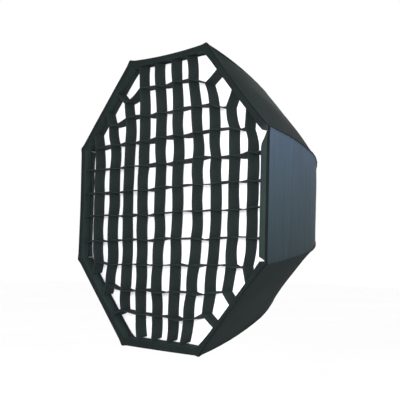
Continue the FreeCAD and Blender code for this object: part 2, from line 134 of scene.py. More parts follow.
def flat_uv(first, second):
    """Cloth coordinates of a grid: first varies along its rows, second along its columns."""
    return np.stack(np.broadcast_arrays(first[:, None], second[None]), 2)


def grid_normals(points, loop):
    """Unit normals of a grid of points; loop closes the grid along its first direction."""
    along = np.roll(points, -1, 0) - np.roll(points, 1, 0) if loop else np.gradient(points, axis=0)
    normal = np.cross(along, np.gradient(points, axis=1))
    return normal / np.maximum(np.linalg.norm(normal, axis=2, keepdims=True), 1e-12)


def sheet_parts(points, thickness, uv, keep=None, loop=False):
    """A closed thin cloth round a grid of mid-surface points: (points, faces, uv, sharp edges)."""
    rows, columns = points.shape[:2]
    offset = grid_normals(points, loop) * (np.broadcast_to(thickness, (rows, columns))[..., None] / 2)
    count = rows * columns
    vertices = np.concatenate([(points + offset).reshape(-1, 3), (points - offset).reshape(-1, 3)])
    a, b = np.meshgrid(np.arange(rows if loop else rows - 1), np.arange(columns - 1), indexing="ij")
    if keep is None:
        keep = np.ones(a.shape, dtype=bool)
    a, b = a[keep], b[keep]
    c = (a + 1) % rows
    quads = np.stack([a * columns + b, c * columns + b, c * columns + b + 1, a * columns + b + 1], 1)
    forward = set(zip(quads.ravel().tolist(), np.roll(quads, -1, axis=1).ravel().tolist()))
    rim = sorted((p, q) for p, q in forward if (q, p) not in forward)
    faces = quads.tolist() + (quads[:, ::-1] + count).tolist()
    faces += [(q, p, p + count, q + count) for p, q in rim]
    sharp = rim + [(p + count, q + count) for p, q in rim]
    used = np.unique(faces)
    renumber = np.full(2 * count, -1)
    renumber[used] = np.arange(len(used))
    faces, sharp = renumber[np.array(faces)].tolist(), renumber[np.array(sharp)].tolist()
    both = np.concatenate([uv.reshape(-1, 2)] * 2)
    return vertices[used], faces, both[used], sharp


def joined(parts):
    """Several (points, faces, uv, sharp) meshes as one."""
    points, faces, uv, sharp = [], [], [], []
    start = 0
    for p, f, t, s in parts:
        points.append(p)
        uv.append(t)
        faces += [tuple(v + start for v in face) for face in f]
        sharp += [(a + start, b + start) for a, b in s]
        start += len(p)
    return np.concatenate(points), faces, np.concatenate(uv), sharp


def hoop_faces(hoops, segments, closed=False):
    """Faces between neighbouring hoops of points; closed also joins the last hoop to the first."""
    faces = []
    for k in range(hoops if closed else hoops - 1):
        low, high = k * segments, (k + 1) % hoops * segments
        for m in range(segments):
            n = (m + 1) % segments
            faces.append((low + m, low + n, high + n, high + m))
    return faces


def tube_parts(line, radius, segments):
    """A capped tube along a line of points, with a radius at each point."""
    tangent = np.gradient(line, axis=0)
    tangent /= np.linalg.norm(tangent, axis=1, keepdims=True)
    side = np.cross(tangent, TUBE_GUIDE)
    side /= np.linalg.norm(side, axis=1, keepdims=True)
    up = np.cross(side, tangent)
    turn = np.arange(segments) * 2 * math.pi / segments
    ring = (np.cos(turn)[None, :, None] * side[:, None] + np.sin(turn)[None, :, None] * up[:, None])
    points = (line[:, None] + ring * radius[:, None, None]).reshape(-1, 3)
    faces = hoop_faces(len(line), segments)
    faces.append(tuple(range(segments))[::-1])
    faces.append(tuple((len(line) - 1) * segments + m for m in range(segments)))
    return points, faces, flat_uv(run_along(line), turn * radius.mean()).reshape(-1, 2), []


# ---- The shell's surface ----
def from_centre(centre, slope, radius):
    return centre[0] + radius * np.sin(slope), centre[1] + radius * np.cos(slope)


FRONT_CENTRE = from_centre((0.0, RIM_R), RIM_SLOPE, -FRONT_ARC_R)
KNEE_CENTRE = from_centre(from_centre(FRONT_CENTRE, KNEE_SLOPE, FRONT_ARC_R), KNEE_SLOPE, -KNEE_ARC_R)
FRONT_LENGTH = FRONT_ARC_R * (KNEE_SLOPE - RIM_SLOPE)
KNEE_LENGTH = KNEE_ARC_R * (TAIL_SLOPE - KNEE_SLOPE)
TAIL_START = from_centre(KNEE_CENTRE, TAIL_SLOPE, KNEE_ARC_R)
TAIL_LENGTH = (TAIL_START[1] - SHELL_REAR_R) / math.sin(TAIL_SLOPE)
SEAM_LENGTH = FRONT_LENGTH + KNEE_LENGTH + TAIL_LENGTH


def seam(length, inset=0.0):
    """Depth, corner radius and slope at a length along the seam from the rim."""
    length = np.asarray(length, dtype=float)
    front = RIM_SLOPE + length / FRONT_ARC_R
    knee = KNEE_SLOPE + (length - FRONT_LENGTH) / KNEE_ARC_R
    slope = np.where(length < FRONT_LENGTH, front, np.minimum(knee, TAIL_SLOPE))
    on_front = from_centre(FRONT_CENTRE, slope, FRONT_ARC_R - inset)
    on_knee = from_centre(KNEE_CENTRE, slope, KNEE_ARC_R - inset)
    tail = np.maximum(length - FRONT_LENGTH - KNEE_LENGTH, 0)
    depth = np.where(length < FRONT_LENGTH, on_front[0], on_knee[0] + tail * math.cos(TAIL_SLOPE))
    radius = np.where(length < FRONT_LENGTH, on_front[1], on_knee[1] - tail * math.sin(TAIL_SLOPE))
    return depth, radius, slope


def side_places(points):
    """The side that each point is on, its distance out towards that side, its u, and its way along."""
    angle = np.arctan2(points[..., 2], points[..., 0])
    side = np.round(angle / STEP).astype(int)
    reach = np.hypot(points[..., 0], points[..., 2])
    along = np.cos(angle - side * STEP) * reach
    across = np.sin(angle - side * STEP) * reach
    return side, along, across / np.maximum(along * math.tan(HALF), 1e-9), across


def placed(angle, out, way, depth):
    """Points at a distance out along an angle, a way to its side, and a depth."""
    x = out * math.cos(angle) - way * math.sin(angle)
    z = out * math.sin(angle) + way * math.cos(angle)
    return np.stack(np.broadcast_arrays(x, RIM_Y + depth, z), -1)


def moved_out(points, angle, distance):
    out = points.copy()
    out[..., 0] += distance * np.cos(angle)
    out[..., 2] += distance * np.sin(angle)
    return out


def settle(points):
    """Draws the middles of the rim's sides inwards, as stretched cloth does, fading with depth."""
    depth = points[..., 1] - RIM_Y
    side, along, u, _ = side_places(points)
    fade = np.clip(1 - np.maximum(depth, 0) / PULL_DEPTH, 0, 1) ** 2
    pull = RIM_PULL[side % SIDES] * (1 - u * u) * (along / APOTHEM) ** 4 * fade
    from_corner = (1 - np.abs(u)) * along * math.tan(HALF)
    tip = TIP_PUSH * np.exp(-(from_corner / TIP_WIDTH) ** 2) * (along / APOTHEM) ** 8
    tip *= np.exp(-np.abs(depth) / TIP_DEPTH)
    corner = np.floor(np.arctan2(points[..., 2], points[..., 0]) / STEP) * STEP + HALF
    return moved_out(moved_out(points, side * STEP, -pull), corner, tip)


def cut_share(side, way):
    """Share of the lips' width that is left by the cuts near the ends of side 0."""
    top, foot = ((way - end) / (start - end) for start, end in (CUT_TOP, CUT_FOOT))
    share = np.clip(np.minimum(top, foot), CUT_LEFT, 1)
    return np.where(side % SIDES == 0, share, 1.0)


def lip_width(side, u):
    return LIP - (LIP - LIP_MIDDLE[side % SIDES]) * (1 - u ** 4)


def wall_inset(side, u, depth):
    """Inset of the grid's wall at a depth, mid-side; its rear edge lies higher than its front one."""
    rise = WALL_RISE * np.sin(side * STEP) * (1 - u ** 4) * np.maximum(depth, 0) / WALL_DEPTH
    return lip_width(side, u) - rise


def fit_border(points):
    """Gives the grid's lip and wall each side's own width, and cuts them near side 0's ends."""
    side, along, u, way = side_places(points)
    depth = points[..., 1] - RIM_Y
    share = cut_share(side, way)
    inset = (APOTHEM - along) / LIP * wall_inset(side, u, depth) * share
    out = moved_out(points, side * STEP, APOTHEM - along - inset)
    out[..., 1] = RIM_Y + np.where(depth > 0, depth * share, depth)
    return out


def fit_lip(points):
    """Narrows the rim's own lip, or a tape on it, as the grid's lip over it is narrowed."""
    side, along, u, way = side_places(points)
    inset = APOTHEM - along
    narrow = inset * lip_width(side, u) / LIP * cut_share(side, way)
    narrow = np.maximum(narrow, np.minimum(inset, LEAST_LIP + 0.05 * inset))
    front = points[..., 1] - RIM_Y < 3 * MM
    return moved_out(points, side * STEP, np.where(front, inset - narrow, 0))


def fit_binding(points):
    """Lets the diffuser's outer edge reach further out between the rods, almost to the hem."""
    side, along, u, _ = side_places(points)
    share = np.clip((along - APOTHEM + DIFFUSER_EDGE + DIFFUSER_BINDING) / DIFFUSER_BINDING, 0, 1)
    return moved_out(points, side * STEP, DIFFUSER_REACH * share * (1 - u ** 8))


def shell_points(side, length, u, inset, ripple, edge_gap):
    """Points of one gore's surface; length and u are arrays of the same shape."""
    depth, radius, slope = seam(length, inset)
    apothem = radius * CORNER
    half = apothem * math.tan(HALF) - edge_gap
    s = length / SEAM_LENGTH
    sag = GORE_SAG[side] * np.sin(math.pi * np.clip(s, 0, 1)) ** 1.5 * (1 - u * u) - ripple
    depth = depth - sag * np.sin(slope)
    apothem = apothem - sag * np.cos(slope)
    return settle(placed(side * STEP, apothem, u * half, depth))


def smooth_noise(a, b, seed):
    """A seeded field of soft noise, about -1 to 1, at places given in wavelengths."""
    a, b = np.broadcast_arrays(a, b)
    field = [noise.noise(Vector((p, q, seed * 7.31))) for p, q in zip(a.ravel(), b.ravel())]
    return np.array(field).reshape(a.shape)


# ---- Octagon rings and sheets ----
RING_STRAIGHT = 32  # points along each side
RING_CORNER = 6  # steps round each corner
END_CLOSE = 0.6  # how much closer together a side's points are at its ends
CORNER_ROUND = 12 * MM


def directions(side):
    """Unit vectors (x, z) outwards through a side and along it."""
    angle = side * STEP
    return np.array([math.cos(angle), math.sin(angle)]), np.array([-math.sin(angle), math.cos(angle)])


def ring_stations(apothem):
    """Points (x, z) round an octagon with slightly rounded corners."""
    radius = max(CORNER_ROUND + apothem - APOTHEM, 2 * MM)
    straight = (apothem - radius) * math.tan(HALF)
    points = []
    for k in range(SIDES):
        out, way = directions(k)
        for t in np.linspace(-1, 1, RING_STRAIGHT):
            spread = (1 - END_CLOSE) * t + END_CLOSE * math.sin(math.pi / 2 * t)
            points.append(out * apothem + way * straight * spread)
        centre = out * (apothem - radius) + way * straight
        for m in range(1, RING_CORNER):
            t = k * STEP + STEP * m / RING_CORNER
            points.append(centre + radius * np.array([math.cos(t), math.sin(t)]))
    return np.array(points)


def cloth_ring(path, thickness, wobble=0, seed=0, keep=None, shape=None):
    """Cloth running round the rim, its section following (depth, apothem) points."""
    points = np.stack([np.insert(ring_stations(apothem), 1, RIM_Y + d, axis=1) for d, apothem in path], 1)
    depth = np.array([d for d, _ in path])
    way = np.linalg.norm(np.roll(points, -1, 0) - points, axis=2).mean(1).cumsum()
    points[..., 1] += wobble * smooth_noise(way[:, None] / (120 * MM), depth[None] / (30 * MM), seed)
    points = settle(shape(points) if shape else points)
    return sheet_parts(points, thickness, flat_uv(way, run_along(np.array(path))), keep, True)


def octagon_grid(apothem, count):
    """A square grid mapped onto an octagon: x, z, and the share of the way out from the centre."""
    axis = np.linspace(-1, 1, count)
    a, b = np.meshgrid(axis, axis, indexing="ij")
    r = np.maximum(np.abs(a), np.abs(b))
    quarter = np.where(np.abs(a) >= np.abs(b), np.where(a >= 0, 0, 2), np.where(b >= 0, 1, 3))
    turned = np.select([quarter == 0, quarter == 1, quarter == 2], [b, -a, -b], a)
    p = turned / np.maximum(r, 1e-9) + 2 * quarter
    side = np.round(p)
    w = (p - side) * 2 * math.tan(HALF)
    x = apothem * r * (np.cos(side * STEP) - w * np.sin(side * STEP))
    z = apothem * r * (np.sin(side * STEP) + w * np.cos(side * STEP))
    return x, z, r


# ---- Materials ----
class Shade:
    """A material with one Principled shader and short ways to add nodes to it."""

    def __init__(self, name, colour, **inputs):
        self.material = bpy.data.materials.new(name)
        self.material.use_nodes = True
        self.tree = self.material.node_tree
        self.inputs = self.tree.nodes["Principled BSDF"].inputs
        self.inputs["Base Color"].default_value = (*colour, 1)
        for key, value in inputs.items():
            self.inputs[key.replace("_", " ")].default_value = value

    def node(self, kind, inputs=(), **settings):
        """A new node; each of the inputs, by name or number, gets a value or a link from an output."""
        made = self.tree.nodes.new("ShaderNode" + kind)
        for key, value in settings.items():
            setattr(made, key, value)
        for key, value in dict(inputs).items():
            if isinstance(value, bpy.types.NodeSocket):
                self.tree.links.new(value, made.inputs[key])
            else:
                made.inputs[key].default_value = value
        return made

    def driver(self, name):
        """The output that is linked to one of the shader's inputs, if any."""
        links = self.inputs[name].links
        return links[0].from_socket if links else None

    def coordinates(self, scale, uv=True):
        """Cloth coordinates in metres, or object coordinates, times a scale for each axis or for all."""
        source = self.node("UVMap", uv_map="cloth") if uv else self.node("TexCoord")
        inputs = {"Vector": source.outputs["UV" if uv else "Object"],
                  "Scale": scale if isinstance(scale, tuple) else (scale,) * 3}
        return self.node("Mapping", inputs).outputs["Vector"]

    def noise(self, scale, detail, uv=True, roughness=0.5):
        inputs = {"Vector": self.coordinates(scale, uv), "Scale": 1, "Detail": detail,
                  "Roughness": roughness}
        return self.node("TexNoise", inputs).outputs["Fac"]

    def bands(self, scale, direction):
        inputs = {"Vector": self.coordinates(scale), "Scale": 1}
        return self.node("TexWave", inputs, bands_direction=direction).outputs["Fac"]

    def math(self, operation, a, b):
        return self.node("Math", {0: a, 1: b}, operation=operation).outputs[0]

    def blend(self, a, b, share):
        """Two factors as one, b having the given share."""
        return self.math("ADD", self.math("MULTIPLY", a, 1 - share), self.math("MULTIPLY", b, share))

    def spread(self, value, end, low, high):
        """A value's range set from low to high, at its From or its To end; the other is 0 to 1."""
        inputs = {"Value": value, end + " Min": low, end + " Max": high}
        return self.node("MapRange", inputs).outputs["Result"]

    def ramp(self, factor, stops):
        made = self.node("ValToRGB", {"Fac": factor})
        elements, stops = made.color_ramp.elements, list(stops)
        while len(elements) < len(stops):
            elements.new(0.5)
        for element, (place, colour) in zip(elements, stops):
            element.position = place
            element.color = (*colour, 1)
        return made.outputs["Color"]

    def colour(self, output):
        self.tree.links.new(output, self.inputs["Base Color"])

    def paint_light_grade(self, axis, low, high, stops):
        """Paints light and shade into the colour: multiplies it by a ramp along one cloth coordinate, from
        low to high in metres.
        """
        split = self.node("SeparateXYZ", {"Vector": self.coordinates(1)})
        tone = self.ramp(self.spread(split.outputs[axis], "From", low, high), stops)
        product = self.node("VectorMath", {0: self.driver("Base Color"), 1: tone}, operation="MULTIPLY")
        self.colour(product.outputs["Vector"])

    def roughness(self, factor, low, high):
        self.tree.links.new(self.spread(factor, "To", low, high), self.inputs["Roughness"])

    def bump(self, height, distance, strength):
        """Adds a bump, on top of the bumps before it."""
        inputs = {"Height": height, "Distance": distance, "Strength": strength}
        if self.driver("Normal"):
            inputs["Normal"] = self.driver("Normal")
        self.tree.links.new(self.node("Bump", inputs).outputs["Normal"], self.inputs["Normal"])


def tinted(colour, spread):
    """A darker and a lighter shade of a colour."""
    return [tuple(c * factor for c in colour) for factor in (1 - spread, 1 + spread)]


WAVE_RATE = 20  # radians of Blender's wave texture in one unit of its vector


def cloth_material(name, colour, thread=0.7, spread=0.22, depth=0.12, gloss=0.12, metal=0,
                   streaks=None, painted_light_grades=()):
    """Plain-woven cloth: crossed threads, mottled dye, and streaks and painted grades of light and shade if
    asked for.

    The threads' width and the depth of their bumps are in millimetres."""
    shade = Shade(name, colour, Specular_IOR_Level=gloss, Metallic=metal)
    turns = 2 * math.pi / (thread * MM) / WAVE_RATE
    weave = shade.math("MULTIPLY", *(shade.bands((turns, turns, 1), axis) for axis in "XY"))
    mottle = shade.noise(9, 5.0)
    factor = shade.blend(mottle, shade.noise(900, 2.0), 0.35)
    if streaks:
        factor = shade.blend(factor, shade.noise(streaks, 4.0, roughness=0.6), 0.6)
    shade.colour(shade.ramp(factor, zip((0.3, 0.7), tinted(colour, spread))))
    for paint_light_grade in painted_light_grades:
        shade.paint_light_grade(*paint_light_grade)
    shade.roughness(mottle, 0.75, 0.93)
    shade.bump(weave, depth * MM, 0.5)
    shade.bump(shade.noise(45, 3.0), 0.6 * MM, 0.35)
    return shade.material


def hard_material(name, colour, rough, grain=300, depth=0.05, metal=0, coat=0):
    """Metal or plastic with a fine grain, uneven gloss and slightly rubbed tone."""
    shade = Shade(name, colour, Metallic=metal, Coat_Weight=coat)
    tone = shade.noise(25, 4.0, uv=False)
    shade.colour(shade.ramp(tone, zip((0.3, 0.75), tinted(colour, 0.15))))
    shade.roughness(shade.noise(grain, 3.0, uv=False), rough - 0.08, rough + 0.12)
    shade.bump(shade.noise(grain, 2.0, uv=False), depth * MM, 0.6)
    return shade.material


WHITE = (1, 1, 1)
GRID_CLOTH = cloth_material("grid_cloth", (0.0095, 0.0145, 0.014))
# Painted light and shade: the lip, which faces the key light, is painted half as bright as the wall behind
# it, which lies in the strips' shade; side 0 is painted brighter than the other sides, a painted highlight
# where light from +X falls.
BORDER_CLOTH = cloth_material(
    "grid_border_cloth", (0.030, 0.046, 0.045), thread=0.9, gloss=0.05,
    painted_light_grades=[("Y", 21 * MM, 27 * MM, [(0.0, (0.5, 0.5, 0.5)), (1.0, WHITE)]),
            ("X", 0, 3.1, [(0.0, WHITE), (0.122, WHITE), (0.128, (0.44, 0.44, 0.44))])])
GORE_CLOTH = cloth_material("gore_cloth", (0.0085, 0.0125, 0.0128), thread=0.5, gloss=0.03)
# Side 0's panel: its blue-grey colour is partly its own, a plain panel where a label would be, and partly a
# painted reflection; its grade paints it lighter towards the top and darker towards the bottom, painted
# light from above.
SATIN_CLOTH = cloth_material(
    "satin_cloth", (0.0286, 0.0475, 0.075), thread=0.35, spread=0.3, depth=0.05, gloss=0.3,
    streaks=(3, 55, 1), painted_light_grades=[("X", -195 * MM, 195 * MM,
                                 [(0.0, (0.10, 0.25, 0.20)), (0.5, (0.50, 0.62, 0.53)), (1.0, WHITE)])])
PIPING_CLOTH = cloth_material("piping_cloth", (0.006, 0.008, 0.008), thread=0.5)
EDGE_TAPE = cloth_material("edge_tape", (0.005, 0.007, 0.007), thread=0.8, gloss=0.05)
HEM_CLOTH = cloth_material("hem_cloth", (0.012, 0.017, 0.0165), thread=1.1, depth=0.2)
WEBBING = cloth_material("webbing", (0.014, 0.018, 0.018), thread=1.6, depth=0.3)
HOOK_TAPE = cloth_material("hook_tape", (0.012, 0.014, 0.015), thread=1.3, depth=0.5)
THREAD = cloth_material("thread", (0.018, 0.023, 0.023), thread=0.3)
WHITE_CLOTH = cloth_material("diffuser_cloth", (0.90, 0.90, 0.945), thread=0.5, spread=0.02, depth=0.04)
BINDING_CLOTH = cloth_material("diffuser_binding_cloth", (0.88, 0.88, 0.92), thread=0.9, spread=0.03,
                               depth=0.15)
BAFFLE_CLOTH = cloth_material("baffle_cloth", (0.86, 0.87, 0.89), thread=0.5, spread=0.03, depth=0.04)
SILVER_CLOTH = cloth_material("silver_cloth", (0.72, 0.73, 0.75), thread=0.9, spread=0.08, metal=0.85)
ALLOY = hard_material("turned_alloy", (0.70, 0.71, 0.73), 0.28, grain=(40, 900, 40), metal=1)
RING_PAINT = hard_material("ring_paint", (0.022, 0.023, 0.025), 0.42, grain=700, depth=0.12, coat=0.1)
STEEL = hard_material("bright_steel", (0.62, 0.62, 0.63), 0.22, metal=1)
ROD_STEEL = hard_material("rod_steel", (0.45, 0.46, 0.48), 0.36, metal=1)
MOULDED = hard_material("moulded_black", (0.020, 0.020, 0.022), 0.5, grain=900, depth=0.08)


# ---- Shell ----
def gore_ripple(side, length, u, half):
    """Outward unevenness of a gore: puckers along the sewn edges and slack in the middle."""
    near = np.exp(-(1 - np.abs(u)) * half / (20 * MM))
    phase = np.where(u > 0, side * 1.7, side * 1.7 + 2.1)
    wave = np.sin(2 * math.pi * length / (31 * MM) + phase + 1.3 * np.sin(length / (90 * MM) + side))
    slack = smooth_noise(length / (140 * MM), u * half / (95 * MM), side + 3)
    ends = np.clip(np.minimum(length, SEAM_LENGTH - length) / (40 * MM), 0, 1)
    return ends * (0.45 * MM * near * wave + 2.2 * MM * slack)


def gore_grid(side, count, columns, first, last, inset, edge_gap, crinkle=0.0):
    """Mid-surface points of one gore's cloth, with the cloth coordinates of each point."""
    length, u = np.meshgrid(np.linspace(first, last, count), np.linspace(-1, 1, columns), indexing="ij")
    half = seam(length)[1] * math.sin(HALF)
    ripple = gore_ripple(side, length, u, half)
    if crinkle:
        ripple = ripple + crinkle * smooth_noise(length / (16 * MM), u * half / (20 * MM), side + 40)
    points = shell_points(side, length, u, inset, ripple, edge_gap)
    return points, np.stack([u * half, length], 2)


GORE_COLUMNS = 41
GORE_STITCH_INSET = 6 * MM


def gore(side):
    points, uv = gore_grid(side, 170, GORE_COLUMNS, 0, SEAM_LENGTH, CLOTH / 2, 0.9 * MM)
    parts = sheet_parts(points, CLOTH, uv)
    material, slot = (SATIN_CLOTH, "satin_cloth") if side == 0 else (GORE_CLOTH, "black_cloth")
    obj = build(f"gore_cloth_{side + 1}", parts, "softbox", material, [f"gore_{side + 1}"])
    out = grid_normals(points, False)
    if np.sum(out * points) < 0:
        out = -out
    row, middle = np.arange(len(points)), (GORE_COLUMNS - 1) / 2
    rows = []
    for sign in (-1, 1):
        reach = middle - GORE_STITCH_INSET * middle / np.abs(uv[:, 0, 0])
        place = np.clip(middle + sign * reach, 0, 2 * middle)
        low = place.astype(int)
        share = (place - low)[:, None]
        line = points[row, low] * (1 - share) + points[row, low + 1] * share
        rows.append(stitch_parts(line + out[row, low] * CLOTH / 2, out[row, low]))
    stitches = build(f"gore_stitches_{side + 1}", joined(rows), "softbox", THREAD)
    return obj, stitches


def lining(side):
    points, uv = gore_grid(side, 110, 31, 52 * MM, SEAM_LENGTH - 28 * MM, 2.6 * MM, 3.0 * MM, 0.35 * MM)
    parts = sheet_parts(points, 0.4 * MM, uv)
    return build(f"gore_lining_{side + 1}", parts, "softbox", SILVER_CLOTH,
                 ["gore_linings"])


def piping(corner):
    """Bound piping along the seam at a corner; corner k is between sides k and k + 1."""
    length = np.linspace(0, SEAM_LENGTH, 150)
    depth, out, _ = seam(length, -0.1 * MM)
    line = placed(corner * STEP + HALF, out, 0, depth)
    radius = 2.1 * MM * (1 + 0.06 * np.sin(length / (7 * MM) + corner))
    return build(f"seam_piping_{corner + 1}", tube_parts(line, radius, 8), "softbox", PIPING_CLOTH,
                 ["seam_piping"])


STITCH_SHARE = 0.7  # a stitch's length, as a share of the pitch
STITCH_R = 0.28 * MM


def stitch_parts(line, normal, pitch=5 * MM):
    """A row of thread stitches lying on a line of points."""
    length, parts = run_along(line), []
    for start in np.arange(pitch, length[-1] - pitch, pitch):
        at = start + pitch * STITCH_SHARE * np.array([0, 0.18, 0.5, 0.82, 1])
        place, up = (np.stack([np.interp(at, length, values[:, k]) for k in range(3)], 1)
                     for values in (line, normal))
        lift = np.array([-0.5, 0.4, 0.8, 0.4, -0.5])[:, None] * STITCH_R
        parts.append(tube_parts(place + up * lift, STITCH_R * TAPER, 5))
    return joined(parts)


# ---- Rim ----
def inset_apothem(inset, depth):
    """Distance out to a place inside the shell's front part, mid-side."""
    slope = RIM_SLOPE + math.radians(0.9)
    return (RIM_R - inset / math.cos(slope) - depth * math.tan(slope)) * CORNER


ROD_INSET = 10 * MM  # of a rod's centre from the seam
ROD_CLEAR = 7 * MM  # the hem's seat is cut away this near to it


def hem():
    """The band inside the rim: a turned-in lip in front and the diffuser's seat behind."""
    lip, seat = 1.05 * MM, 48.25 * MM
    path = [(lip, APOTHEM - w * MM) for w in (17.5, 16, 14, 11, 8, 5.5)]
    path += [(1.8 * MM, APOTHEM - 4.2 * MM)]
    path += [(d * MM, inset_apothem(3 * MM, d * MM)) for d in (4, 10, 20, 30, 40, 45)]
    path += [(47.4 * MM, inset_apothem(4.2 * MM, 46 * MM))]
    seat_start = len(path) - 1
    path += [(seat, APOTHEM - w * MM) for w in (20, 24, 28, 33, 38, 41)]
    rings = [ring_stations(apothem) for _, apothem in path]
    keep = np.ones((len(rings[0]), len(path) - 1), dtype=bool)
    rod_r = seam(50 * MM, ROD_INSET)[1]
    for b in range(seat_start, len(path) - 1):
        middle = (rings[b] + rings[b + 1] + np.roll(rings[b] + rings[b + 1], -1, 0)) / 4
        for corner in range(SIDES):
            rod = rod_r * directions(corner + 0.5)[0]
            keep[np.linalg.norm(middle - rod, axis=1) < ROD_CLEAR, b] = False
    parts = cloth_ring(path, 1.5 * MM, keep=keep, shape=fit_lip)
    return build("front_hem_cloth", parts, "softbox", HEM_CLOTH, ["front_hem"])


def rim_binding():
    """Narrow tape bound round the outside of the rim's front edge."""
    slope = math.tan(RIM_SLOPE)
    path = [(d * MM, (RIM_R - d * MM * slope) * CORNER + w * MM)
            for d, w in ((-0.3, -0.6), (-0.5, 0.5), (0.6, 1.2), (3, 1.4), (6, 1.4), (8.6, 1.2), (9.2, 0.8))]
    return build("rim_binding", cloth_ring(path, 1.0 * MM), "softbox", EDGE_TAPE)


def side_tape(side, depth, outer, inner):
    """A length of tape between two distances out from the axis."""
    w = np.linspace(-150 * MM, 150 * MM, 30)
    across = np.array([0, 0.08, 0.5, 0.92, 1]) * (outer - inner) + inner
    way, apothem = np.meshgrid(w, across, indexing="ij")
    points = settle(fit_lip(placed(side * STEP, apothem, way, depth)))
    return sheet_parts(points, 1.0 * MM * TAPER[None], np.stack([way, apothem], 2))


def hook_tapes():
    """Tapes along each side's middle, for the grid on the rim's lip and for the diffuser on its seat."""
    tapes = [side_tape(k, depth * MM, APOTHEM - outer * MM, APOTHEM - inner * MM)
             for depth, outer, inner in ((-0.3, 5, 16), (46.9, 28, 39)) for k in range(SIDES)]
    return build("hook_tapes", joined(tapes), "softbox", HOOK_TAPE, ["hem_hook_tapes"])


def corner_pockets():
    """Cloth cups that hold the rod ends, each with a rolled mouth."""
    slope = math.radians(15.8)  # of a rod near its tip
    depth, radius = from_centre(FRONT_CENTRE, slope, FRONT_ARC_R - ROD_INSET)
    profile = [(-7.0, 0.0), (-7.0, 2.4), (-6.4, 3.9), (-5, 4.5), (4, 4.6), (13, 4.6), (14, 4.9),
               (16.2, 4.9), (16.8, 4.4), (16.2, 3.9), (10, 3.7), (-4, 3.6), (-5.3, 2.4), (-5.3, 0.0)]
    parts, turns = [], 24
    turn = np.arange(turns)[:, None] * 2 * math.pi / turns
    back = np.array([0.0, 1, 0])
    for corner in range(SIDES):
        angle = corner * STEP + HALF
        out = np.array([math.cos(angle), 0, math.sin(angle)])
        axis = back * math.cos(slope) - out * math.sin(slope)
        up = back * math.sin(slope) + out * math.cos(slope)
        hoop = np.cos(turn) * up + np.sin(turn) * np.cross(axis, up)
        start = out * radius + back * (RIM_Y + depth)
        points = np.concatenate([start + MM * (axis * along + r * hoop) for along, r in profile])
        parts.append((points, hoop_faces(len(profile), turns), np.zeros((len(points), 2)), []))
    obj = build("corner_pocket_cups", joined(parts), "softbox", WEBBING, ["corner_pockets"])
    merge_close(obj)
    return obj


def merge_close(obj):
    """Merges points that coincide, such as the ring at a cup's closed end, and turns faces outwards."""
    work = bmesh.new()
    work.from_mesh(obj.data)
    bmesh.ops.remove_doubles(work, verts=work.verts, dist=1e-6)
    bmesh.ops.recalc_face_normals(work, faces=work.faces)
    work.to_mesh(obj.data)
    work.free()


def collar():
    """Cloth sleeve from the shell's rear edge round the speedring, gathered behind its shoulder."""
    count = 320
    theta = np.arange(count) * 2 * math.pi / count
    octagon = 83.2 * MM / np.cos(theta - np.round(theta / STEP) * STEP)
    # Depth, how far the octagon has become a circle, and the circle's radius.
    steps = [(524.6, 0.0, 82.0), (526.0, 0.5, 81.2), (528.0, 0.9, 80.4), (530.5, 1, 80.1),
             (533.0, 1, 80.0), (534.8, 1, 79.4), (535.4, 1, 78.0), (535.6, 1, 76.0), (535.6, 1, 74.6),
             (535.7, 1, 73.6)]
    points = []
    for b, (depth, blend, circle) in enumerate(steps):
        gather = np.clip((b - 3) / 4, 0, 1)
        ripple = gather * 0.5 * MM * np.cos(52 * theta + 0.8 * np.sin(3 * theta))
        radius = octagon * (1 - blend) + circle * MM * blend + ripple * (b < 6)
        y = RIM_Y + depth * MM + np.abs(ripple) * (b >= 5)
        points.append(np.stack([radius * np.cos(theta), y, radius * np.sin(theta)], -1))
    points = np.stack(points, 1)
    uv = flat_uv(theta * 80 * MM, np.array([depth for depth, _, _ in steps]) * MM)
    return build("rear_collar_cloth", sheet_parts(points, 0.9 * MM, uv, loop=True), "softbox",
                 GORE_CLOTH, ["rear_collar"])


def collar_elastic():
    """A thin hoop that holds the collar behind the speedring's shoulder."""
    radius, thin, segments = 74.2 * MM, 1.0 * MM, 10
    turn = np.linspace(0, 2 * math.pi, 200)[:-1]
    a, b = np.meshgrid(turn, np.arange(segments) * 2 * math.pi / segments, indexing="ij")
    r = radius + thin * np.cos(b)
    y = RIM_Y + 537.3 * MM + thin * np.sin(b)
    points = np.stack([r * np.cos(a), y, r * np.sin(a)], -1).reshape(-1, 3)
    uv = np.stack([a * radius, b * thin], -1).reshape(-1, 2)
    parts = points, hoop_faces(len(turn), segments, True), uv, []
    return build("collar_elastic", parts, "softbox", WEBBING)


# ---- Diffuser and baffle ----
def diffuser_panel():
    x, z, r = octagon_grid(PANEL_APOTHEM, 121)
    angle = np.arctan2(z, x)
    edge = np.exp(-(1 - r) * PANEL_APOTHEM / (35 * MM))
    pucker = 0.5 * MM * edge * np.sin(angle * 78 + 2 * np.sin(angle * 5))
    slack = 1.4 * MM * smooth_noise(x / (120 * MM), z / (120 * MM), 21) * (1 - r ** 4)
    billow = 4 * MM * (1 - r ** 2)
    y = RIM_Y + 44.6 * MM + billow + pucker + slack
    points = settle(np.stack([x, y, z], -1))
    return build("diffuser_cloth", sheet_parts(points, 0.6 * MM, np.stack([x, z], 2)),
                 "diffuser", WHITE_CLOTH, ["diffuser_panel"])


def diffuser_binding():
    widths = [0, 0.7, 3.5, 8.5, 11.1, 11.6, 12.1, 13.9, DIFFUSER_BINDING / MM]
    path = [(44.5 * MM, APOTHEM - DIFFUSER_EDGE - w * MM) for w in widths]
    thickness = np.array([1.4, 2.2, 2.4, 2.4, 2.3, 1.7, 2.3, 2.2, 1.5])[None] * MM
    ring = cloth_ring(path, thickness, 0.15 * MM, 11, shape=fit_binding)
    return build("diffuser_binding", ring, "diffuser", BINDING_CLOTH,
                 ["diffuser_border"])


